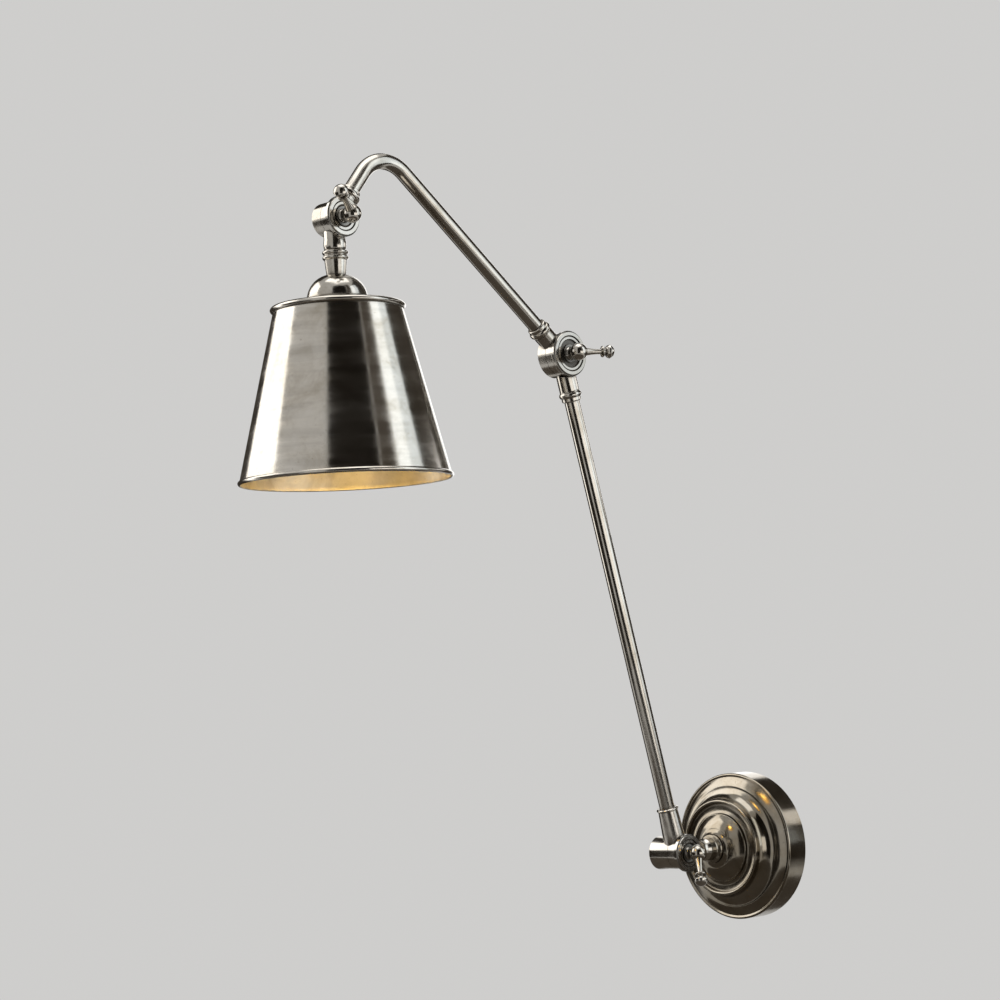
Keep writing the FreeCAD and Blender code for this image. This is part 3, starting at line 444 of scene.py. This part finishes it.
def softened(node, body, slot, finish, width, face_at=None):
    """A part of the frame with its sharp edges broken by a width in mm, as a casting has them.

    face_at is how far out a knuckle's ringed face stands, in mm: the well and the groove behind
    it get a much darker silver, painted shade over their tarnish.
    """
    shape = bmesh.new()
    shape.from_mesh(frame["nodes"][node].data)
    bmesh.ops.remove_doubles(shape, verts=shape.verts, dist=SAME_PLACE)
    bmesh.ops.dissolve_limit(
        shape, angle_limit=math.radians(0.6), verts=shape.verts, edges=shape.edges,
        use_dissolve_boundaries=False,
    )
    soften(shape, width, sharper_than=32)
    finishes = [finish]
    if face_at is not None:
        finishes.append(SILVER_WELL_PAINTED_SHADE)
        # painted shade: faces in the well and groove behind the ringed face take the darker silver
        for face in shape.faces:
            depth = face_at - face.calc_center_median().x / MM
            if face.normal.x > 0.7 and WELL_FROM < depth < WELL_TO:
                face.material_index = 1
    add_piece(f"{node}_softened", shape, finishes, body, slot, node)


# ------------------------------------------------------------------ wall rose


def wall_rose():
    """The spun dish (drum side, rolled rim, cove, raised ring, dished band, boss) and its collar."""
    outline = [
        (62.5, 0), (62.5, 19.2), (60.9, 21.4, 1.7), (59.5, 20.8), (52.4, 24.4, 26.0), (41.0, 35.8, -11.41),
        (41.0, 38.2), (37.8, 38.2, 1.7), (37.2, 36.2), (29.4, 36.8, -10.0), (29.0, 38.8), (28.1, 39.4, 0.7),
        (17.7, 45.4, 26.0), (12.6, 48.0, -8.0), (5.2, 48.0), (5.2, 46.8), (12.0, 46.8), (17.1, 44.2, 8.0),
        (27.1, 37.8, -25.0), (28.3, 35.4), (36.6, 34.8, 10.0), (39.8, 35.6), (52.4, 23.2, 12.62),
        (59.5, 19.6, -25.0), (61.3, 18.6), (61.3, 0),
    ]
    turned(
        "wall_rose_spun", outline, AT_WALL, "wall", "silver_body", SILVER_ROSE_PAINTED_SHADE, "wall_rose",
        segments=144, rounding=0.25,
    )
    collar = [
        (5.05, 48.0), (11.6, 48.0), (11.8, 48.6), (11.8, 51.4, 1.9), (9.6, 52.0), (9.2, 53.5), (5.05, 53.5),
    ]
    turned(
        "rose_collar_turned", collar, AT_WALL, "wall", "silver_body", SILVER_ROSE_PAINTED_SHADE, "rose_collar",
        segments=96, rounding=0.08,
    )


# ------------------------------------------------------------------ arms

TUBE_SEGMENTS = 64


def ferrule(name, place, body, low, bead, node):
    """A turned ring over the tube: lip, hollow bead, groove and a thin collar.

    low is how far along the tube it starts, and bead how far out its bead stands, in mm.
    """
    outline = [
        (6.4, low), (8.0, low), (8.3, low + 0.3), (8.3, low + 0.9), (bead - 0.9, low + 1.0),
        (bead - 0.9, low + 5.28, 2.9), (8.1, low + 5.63), (8.1, low + 8.1), (7.4, low + 8.8),
        (6.4, low + 8.8),
    ]
    turned(name, outline, place, body, "silver_body", SILVER_KNUCKLE, node)


def lower_arm():
    """The straight tube, and the ferrule under the elbow."""
    start, end = 18.0, 409.0
    outline = [(TUBE_BORE, start), (TUBE_RADIUS, start), (TUBE_RADIUS, end), (TUBE_BORE, end)]
    turned(
        "lower_tube_drawn", outline, BASE_TO_ELBOW, "lower_arm", "silver_tube", SILVER_LOWER,
        "lower_arm_tube", segments=TUBE_SEGMENTS,
    )
    ferrule("lower_ferrule_turned", ELBOW_TO_BASE, "lower_arm", 30.5, 9.4, "lower_ferrule")


def drawn_on(shape, rings, way):
    """Draw a tube's end rings on by a way in metres, and give the new end rings."""
    made = bmesh.ops.extrude_edge_only(shape, edges=rings)["geom"]
    moved = [g for g in made if isinstance(g, bmesh.types.BMVert)]
    bmesh.ops.translate(shape, vec=way, verts=moved)
    edges = [g for g in made if isinstance(g, bmesh.types.BMEdge)]
    return [edge for edge in edges if edge.verts[0] in moved and edge.verts[1] in moved]


def upper_arm():
    """The tube that runs up from the elbow, round the bend and down to the head, and its ferrules."""
    start, end_gap = 22.0, 17.0
    turn = math.radians(DROP_LEAN - UPPER_LEAN)
    setback = BEND_RADIUS * math.tan(turn / 2)
    straight = ELBOW_TO_CORNER - setback
    shape = bmesh.new()
    for radius in (TUBE_RADIUS, TUBE_BORE):
        ring = bmesh.ops.create_circle(shape, segments=TUBE_SEGMENTS, radius=radius * MM)
        bmesh.ops.translate(shape, vec=(0, 0, start * MM), verts=ring["verts"])
    rings = shape.edges[:]
    bmesh.ops.bridge_loops(shape, edges=rings)
    rings = drawn_on(shape, rings, (0, 0, (straight - start) * MM))
    bent = bmesh.ops.spin(
        shape, geom=rings, cent=(0, -BEND_RADIUS * MM, straight * MM), axis=(1, 0, 0), angle=turn,
        steps=32,
    )["geom_last"]
    rings = [g for g in bent if isinstance(g, bmesh.types.BMEdge)]
    drop = (CORNER_TO_HEAD - setback - end_gap) * MM
    rings = drawn_on(shape, rings, (0, -math.sin(turn) * drop, math.cos(turn) * drop))
    bmesh.ops.bridge_loops(shape, edges=rings)
    bmesh.ops.recalc_face_normals(shape, faces=shape.faces)
    bmesh.ops.transform(shape, matrix=ELBOW_TO_BEND, verts=shape.verts)
    add_piece("upper_tube_bent", shape, [SILVER_UPPER], "upper_arm", "silver_tube", "upper_arm_tube")
    ferrule("elbow_ferrule_turned", ELBOW_TO_BEND, "upper_arm", 27.0, 9.4, "elbow_ferrule")
    ferrule("head_ferrule_turned", HEAD_TO_BEND, "upper_arm", 21.0, 9.9, "head_ferrule")


# ------------------------------------------------------------------ levers


LEVER_TILT = 25  # how far the handles lean out from the lamp's middle plane, in degrees


def lever_handle(name, pivot, hub, lean):
    """A turned handle: a waisted rod, a small bead and an egg-shaped knob.

    hub is how far along the knuckle's axis its ball hub sits, in mm.
    """
    outline = [
        (0, 2.8), (1.8, 2.8), (1.8, 6.3), (3.4, 6.3), (2.1, 19.0, -60.0), (4.4, 20.2), (4.4, 21.6, 0.9),
        (2.6, 22.4), (2.6, 23.2), (5.8, 26.8, 4.6), (1.16, 31.0, 6.5), (0, 31.0),
    ]
    tilt = Matrix.Rotation(math.radians(LEVER_TILT), 4, "Y")
    place = leaning(pivot, lean) @ Matrix.Translation((hub * MM, 0, 0)) @ tilt
    turned(
        f"{name}_lever_turned", outline, place, f"{name}_lever", "silver_lever", SILVER_LEVER,
        f"{name}_lever_handle", segments=48,
    )


def levers():
    """The handles of the three knuckles."""
    lever_handle("base", BASE_PIVOT, hub=23.0, lean=154.0)
    lever_handle("elbow", ELBOW_PIVOT, hub=20.6, lean=270.0)
    lever_handle("head", HEAD_PIVOT, hub=21.9, lean=56.0)


# ------------------------------------------------------------------ shade


def stem_and_cap():
    """The turned stem with its double bead and the half-ball cap."""
    stem = [
        (5.05, 24.6), (8.7, 24.6), (9.1, 25.1), (9.1, 27.9, 1.5), (8.8, 28.5), (9.1, 29.1), (9.1, 31.9, 1.5),
        (8.6, 32.5), (7.5, 43.6), (7.2, 44.0), (5.05, 44.0),
    ]
    turned(
        "shade_stem_turned", stem, HEAD_DOWN, "shade", "silver_body", SILVER_STEM, "shade_stem",
        segments=96,
    )
    cap = [
        (5.05, 44.0), (8.8, 44.0), (23.0, 59.2, 19.14), (23.6, 61.4), (22.4, 61.4), (21.8, 59.4),
        (8.4, 45.2, -17.92), (5.05, 45.2),
    ]
    turned(
        "shade_cap_spun", cap, HEAD_DOWN, "shade", "silver_body", SILVER_STEM, "shade_cap",
        segments=96, rounding=0.2,
    )


def shade():
    """The lid with its rolled edge, and the cone, bright outside and satin inside."""
    lid = [
        (5.1, 61.4), (24.6, 61.4), (46.59, 67.53, -60.0), (51.81, 69.27, 3.19), (50.36, 71.3, 2.9),
        (46.3, 71.3), (45.8, 69.12), (24.6, 62.3, 60.0), (5.1, 62.3),
    ]
    turned(
        "shade_lid_spun", lid, HEAD_DOWN, "shade", "silver_shade", SILVER_SHADE, "shade_lid",
        segments=144,
    )
    cone = [
        (48.75, 71.3), (49.65, 71.3), (80.2, 198.0), (80.2, 201.6, 1.81), (79.3, 201.1, 1.8),
        (79.3, 198.0),
    ]
    shape = spun(cone, segments=160, rounding=0.15)
    slant = [e for e in shape.edges if abs(e.verts[0].co.z - e.verts[1].co.z) > 0.1]
    bmesh.ops.subdivide_edges(shape, edges=slant, cuts=11, use_grid_fill=True)
    for face in shape.faces:
        middle = face.calc_center_median()
        if face.normal.dot(Vector((middle.x, middle.y, 0))) < 0:
            face.material_index = 1
    bmesh.ops.transform(shape, matrix=HEAD_DOWN, verts=shape.verts)
    finishes = [SILVER_SHADE, SILVER_INSIDE]
    add_piece("shade_cone_spun", shape, finishes, "shade", "silver_shade", "shade_cone")


def bulb():
    """The pear-shaped opal glass."""
    glass = [
        (11.45, 106.3), (12.45, 106.3), (12.45, 112.3), (22.0, 133.3, -60.0), (27.5, 149.8, 27.5),
        (0, 177.3, 27.5), (0, 176.3), (26.5, 149.8, -26.5), (21.2, 133.9, -26.5),
        (11.45, 113.3, 60.0),
    ]
    turned(
        "bulb_glass_blown", glass, HEAD_DOWN, "shade", "opal_glass", FINISHES["opal_glass"],
        "bulb_glass", rounding=0.1,
    )


def knuckles():
    """The cast halves and the clamp screws with their edges broken."""
    halves = {
        "base_post_knuckle": "wall", "base_arm_knuckle": "lower_arm", "elbow_lower_knuckle": "lower_arm",
        "elbow_upper_knuckle": "upper_arm", "head_arm_knuckle": "upper_arm", "head_stem_knuckle": "shade",
    }
    faces = {"base_arm_knuckle": 14.0, "elbow_upper_knuckle": 11.6, "head_arm_knuckle": 12.9}
    for node, body in halves.items():
        softened(node, body, "silver_body", SILVER_KNUCKLE, width=0.3, face_at=faces.get(node))
    for name in ("base", "elbow", "head"):
        node = f"{name}_lever_screw"
        softened(node, f"{name}_lever", "silver_lever", SILVER_LEVER, width=0.2)


def wall_fittings():
    """The pressed strap, the moulded block, the nuts and the earth screw behind the rose."""
    for node, slot, width in (
        ("mounting_bracket", "zinc_steel", 0.25), ("terminal_block", "block_plastic", 0.4),
        ("nipple_nuts", "bare_brass", 0.25), ("earth_screw", "zinc_steel", 0.15),
    ):
        softened(node, "wall", slot, FINISHES[slot], width)


wall_rose()
lower_arm()
upper_arm()
levers()
stem_and_cap()
shade()
bulb()
knuckles()
wall_fittings()


# ------------------------------------------------------------------ camera, floor and light


CAMERA_PLACE = Vector((1.41147, -1.62862, 0.14490))
CAMERA_LENS = 88.13  # millimetres, on a sensor 36 mm wide
BACKDROP = (0.62, 0.615, 0.605)
EVEN_LIGHT = 0.35  # how bright the backdrop's light is on surfaces that aren't shiny
FLOOR_LEVEL = -0.64  # under the lowest place the shade can swing to
FLOOR_PAPER = (0.72, 0.715, 0.70)
FLOOR_RADIUS = 5.0
FADE_FROM, FADE_TO = 0.8, 2.5  # how far from the rose the floor starts to fade, and is gone
LEVELLED = 0.6  # how much of the floor's light and shade is evened out
LAMP_MIDDLE = Vector((0, -0.35, 0.4))
WHITE = (1.0, 1.0, 1.0)
WARM = (1.0, 0.98, 0.95)
COOL = (0.86, 0.94, 1.0)


def photo_camera():
    """The camera at the photograph's place, below the shade's mouth and to the lamp's side."""
    view = bpy.data.cameras.new("camera")
    view.sensor_width = 36.0
    view.lens = CAMERA_LENS
    view.clip_start = 0.05
    view.clip_end = 60.0
    camera = in_scene("camera", view)
    right = Vector((0.68746798, 0.72433765, -0.05218004))
    up = Vector((0.0918364, -0.01543658, 0.99565445))
    back = Vector((0.72038452, -0.68927258, -0.07713272))
    turn = Matrix((right, up, back)).transposed().to_4x4()
    camera.matrix_world = Matrix.Translation(CAMERA_PLACE) @ turn
    bpy.context.scene.camera = camera


def seen_directly(nodes, links):
    """1 for the camera and for what metal and glass show of the background, else 0."""
    ray = nodes.new("ShaderNodeLightPath").outputs
    straight = sums(nodes, links, "MAXIMUM", ray["Is Camera Ray"], ray["Is Transmission Ray"])
    return sums(nodes, links, "MAXIMUM", straight, ray["Is Glossy Ray"])


def blended(nodes, links, share, first, second):
    """Two shaders mixed by a share of the second."""
    node = nodes.new("ShaderNodeMixShader")
    for index, value in enumerate((share, first, second)):
        links.new(value, node.inputs[index])
    return node.outputs["Shader"]


def pale_floor():
    """A round pale floor that fades into the backdrop, and lets the lamp be seen from below."""
    shape = bmesh.new()
    bmesh.ops.create_circle(shape, cap_ends=True, segments=96, radius=FLOOR_RADIUS)
    bmesh.ops.translate(shape, vec=(0, -0.3, FLOOR_LEVEL), verts=shape.verts)
    floor = in_scene("floor", mesh_of("floor", shape))
    material = bpy.data.materials.new("floor_paper")
    nodes, links = bare_tree(material)
    paper = nodes.new("ShaderNodeBsdfDiffuse")
    paper.inputs["Color"].default_value = (*FLOOR_PAPER, 1)
    even = nodes.new("ShaderNodeEmission")
    even.inputs["Color"].default_value = (*BACKDROP, 1)
    share = sums(nodes, links, "MULTIPLY", seen_directly(nodes, links), LEVELLED)
    levelled = blended(nodes, links, share, paper.outputs["BSDF"], even.outputs["Emission"])
    distance = nodes.new("ShaderNodeVectorMath")
    distance.operation = "LENGTH"
    links.new(piece_space(nodes, links), distance.inputs[0])
    fade = nodes.new("ShaderNodeMapRange")
    fade.interpolation_type = "SMOOTHSTEP"
    fade.inputs["From Min"].default_value = FADE_FROM
    fade.inputs["From Max"].default_value = FADE_TO
    links.new(distance.outputs["Value"], fade.inputs["Value"])
    underside = nodes.new("ShaderNodeNewGeometry").outputs["Backfacing"]
    share = sums(nodes, links, "MAXIMUM", fade.outputs["Result"], underside)
    clear = nodes.new("ShaderNodeBsdfTransparent")
    surface = blended(nodes, links, share, levelled, clear.outputs["BSDF"])
    links.new(surface, nodes.new("ShaderNodeOutputMaterial").inputs["Surface"])
    floor.data.materials.append(material)


def backdrop():
    """A plain pale backdrop; diffuse surfaces get a dimmer even light from it."""
    world = bpy.data.worlds.new("backdrop")
    bpy.context.scene.world = world
    nodes, links = bare_tree(world)
    even = nodes.new("ShaderNodeBackground")
    even.inputs["Color"].default_value = (*WHITE, 1)
    even.inputs["Strength"].default_value = EVEN_LIGHT
    seen = nodes.new("ShaderNodeBackground")
    seen.inputs["Color"].default_value = (*BACKDROP, 1)
    share = seen_directly(nodes, links)
    surface = blended(nodes, links, share, even.outputs["Background"], seen.outputs["Background"])
    links.new(surface, nodes.new("ShaderNodeOutputWorld").inputs["Surface"])


def around(azimuth, distance, height):
    """A place round the lamp: azimuth 0 is in front of it, out from the wall, 90 is to +X."""
    angle = math.radians(azimuth)
    return Vector((math.sin(angle) * distance, LAMP_MIDDLE.y - math.cos(angle) * distance, height))


def soft_light(name, azimuth, distance, low, high, width, brightness, colour):
    """An upright softbox that faces the lamp, as bright in a mirror as its brightness says."""
    light = bpy.data.lights.new(name, "AREA")
    light.shape = "RECTANGLE"
    light.size = width
    light.size_y = high - low
    light.color = colour
    light.energy = brightness * math.pi * width * (high - low)
    lamp = in_scene(name, light)
    lamp.location = around(azimuth, distance, (low + high) / 2)
    inward = Vector((LAMP_MIDDLE.x, LAMP_MIDDLE.y, lamp.location.z)) - lamp.location
    lamp.rotation_euler = inward.to_track_quat("-Z", "Y").to_euler()


def flag(name, azimuth, distance, low, high, width, grey):
    """An upright dark card that faces the lamp."""
    shape = bmesh.new()
    bmesh.ops.create_grid(shape, x_segments=1, y_segments=1, size=0.5)
    turn = Matrix.Rotation(math.radians(azimuth), 4, "Z") @ Matrix.Rotation(math.radians(90), 4, "X")
    size = Matrix.Diagonal((width, high - low, 1, 1))
    place = Matrix.Translation(around(azimuth, distance, (low + high) / 2))
    bmesh.ops.transform(shape, matrix=place @ turn @ size, verts=shape.verts)
    dark_card(name, shape, grey)


def floor_flag(name, radius, middle, grey):
    """A round dark card that lies just over the floor."""
    shape = bmesh.new()
    bmesh.ops.create_circle(shape, cap_ends=True, segments=64, radius=radius)
    bmesh.ops.translate(shape, vec=(*middle, FLOOR_LEVEL + 0.01), verts=shape.verts)
    dark_card(name, shape, grey)


def dark_card(name, shape, grey):
    """Set up a card that only reflections see, a little browner than grey."""
    card = in_scene(name, mesh_of(name, shape))
    card.visible_camera = card.visible_shadow = False
    card.visible_diffuse = card.visible_transmission = False
    material, _, _, shader = finish_tree(
        name, metallic=0.0, roughness=1.0, Specular_IOR_Level=0.0,
    )
    shader.inputs["Base Color"].default_value = (grey, grey * 0.86, grey * 0.72, 1)
    card.data.materials.append(material)


def studio():
    """Softboxes round the lamp and over it, and dark cards that its polished metal mirrors."""
    for light in (
        # name, azimuth, distance, lowest, highest, width, brightness, colour
        ("key_softbox", -61, 1.8, 0.65, 2.4, 1.7, 2.0, WARM),
        ("low_strip", -66, 1.7, -0.3, 0.6, 0.45, 1.8, WARM),
        ("low_side_strip", 90, 1.7, -0.32, 0.5, 1.1, 1.6, WARM),
        ("high_side_strip", 163, 1.8, 0.5, 0.9, 1.0, 1.5, WHITE),
        ("side_softbox", 127, 1.8, 0.0, 2.3, 1.1, 1.3, COOL),
        ("back_softbox", 216, 2.4, 0.1, 1.9, 1.0, 1.2, WHITE),
    ):
        soft_light(*light)
    overhead = bpy.data.lights.new("top_softbox", "AREA")
    overhead.size = 1.8
    overhead.energy = 18.0
    in_scene("top_softbox", overhead).location = (0, -0.3, 2.7)
    for card in (
        # name, azimuth, distance, lowest, highest, width, grey
        ("camera_side_flag", 59, 2.7, -1.2, 4.2, 3.1, 0.03),
        ("side_edge_flag", 99, 2.6, -1.2, 4.2, 0.8, 0.16),
        ("wall_side_flag", 168, 2.7, -1.2, 4.2, 4.4, 0.10),
        ("far_left_flag", -112, 2.7, -1.2, 4.2, 3.0, 0.09),
        ("low_flag", -25, 1.4, -0.62, 0.42, 1.6, 0.05),
    ):
        flag(*card)
    floor_flag("floor_flag", radius=1.3, middle=LAMP_MIDDLE.xy, grey=0.12)


photo_camera()
pale_floor()
backdrop()
studio()
bpy.context.scene.view_settings.view_transform = "Standard"
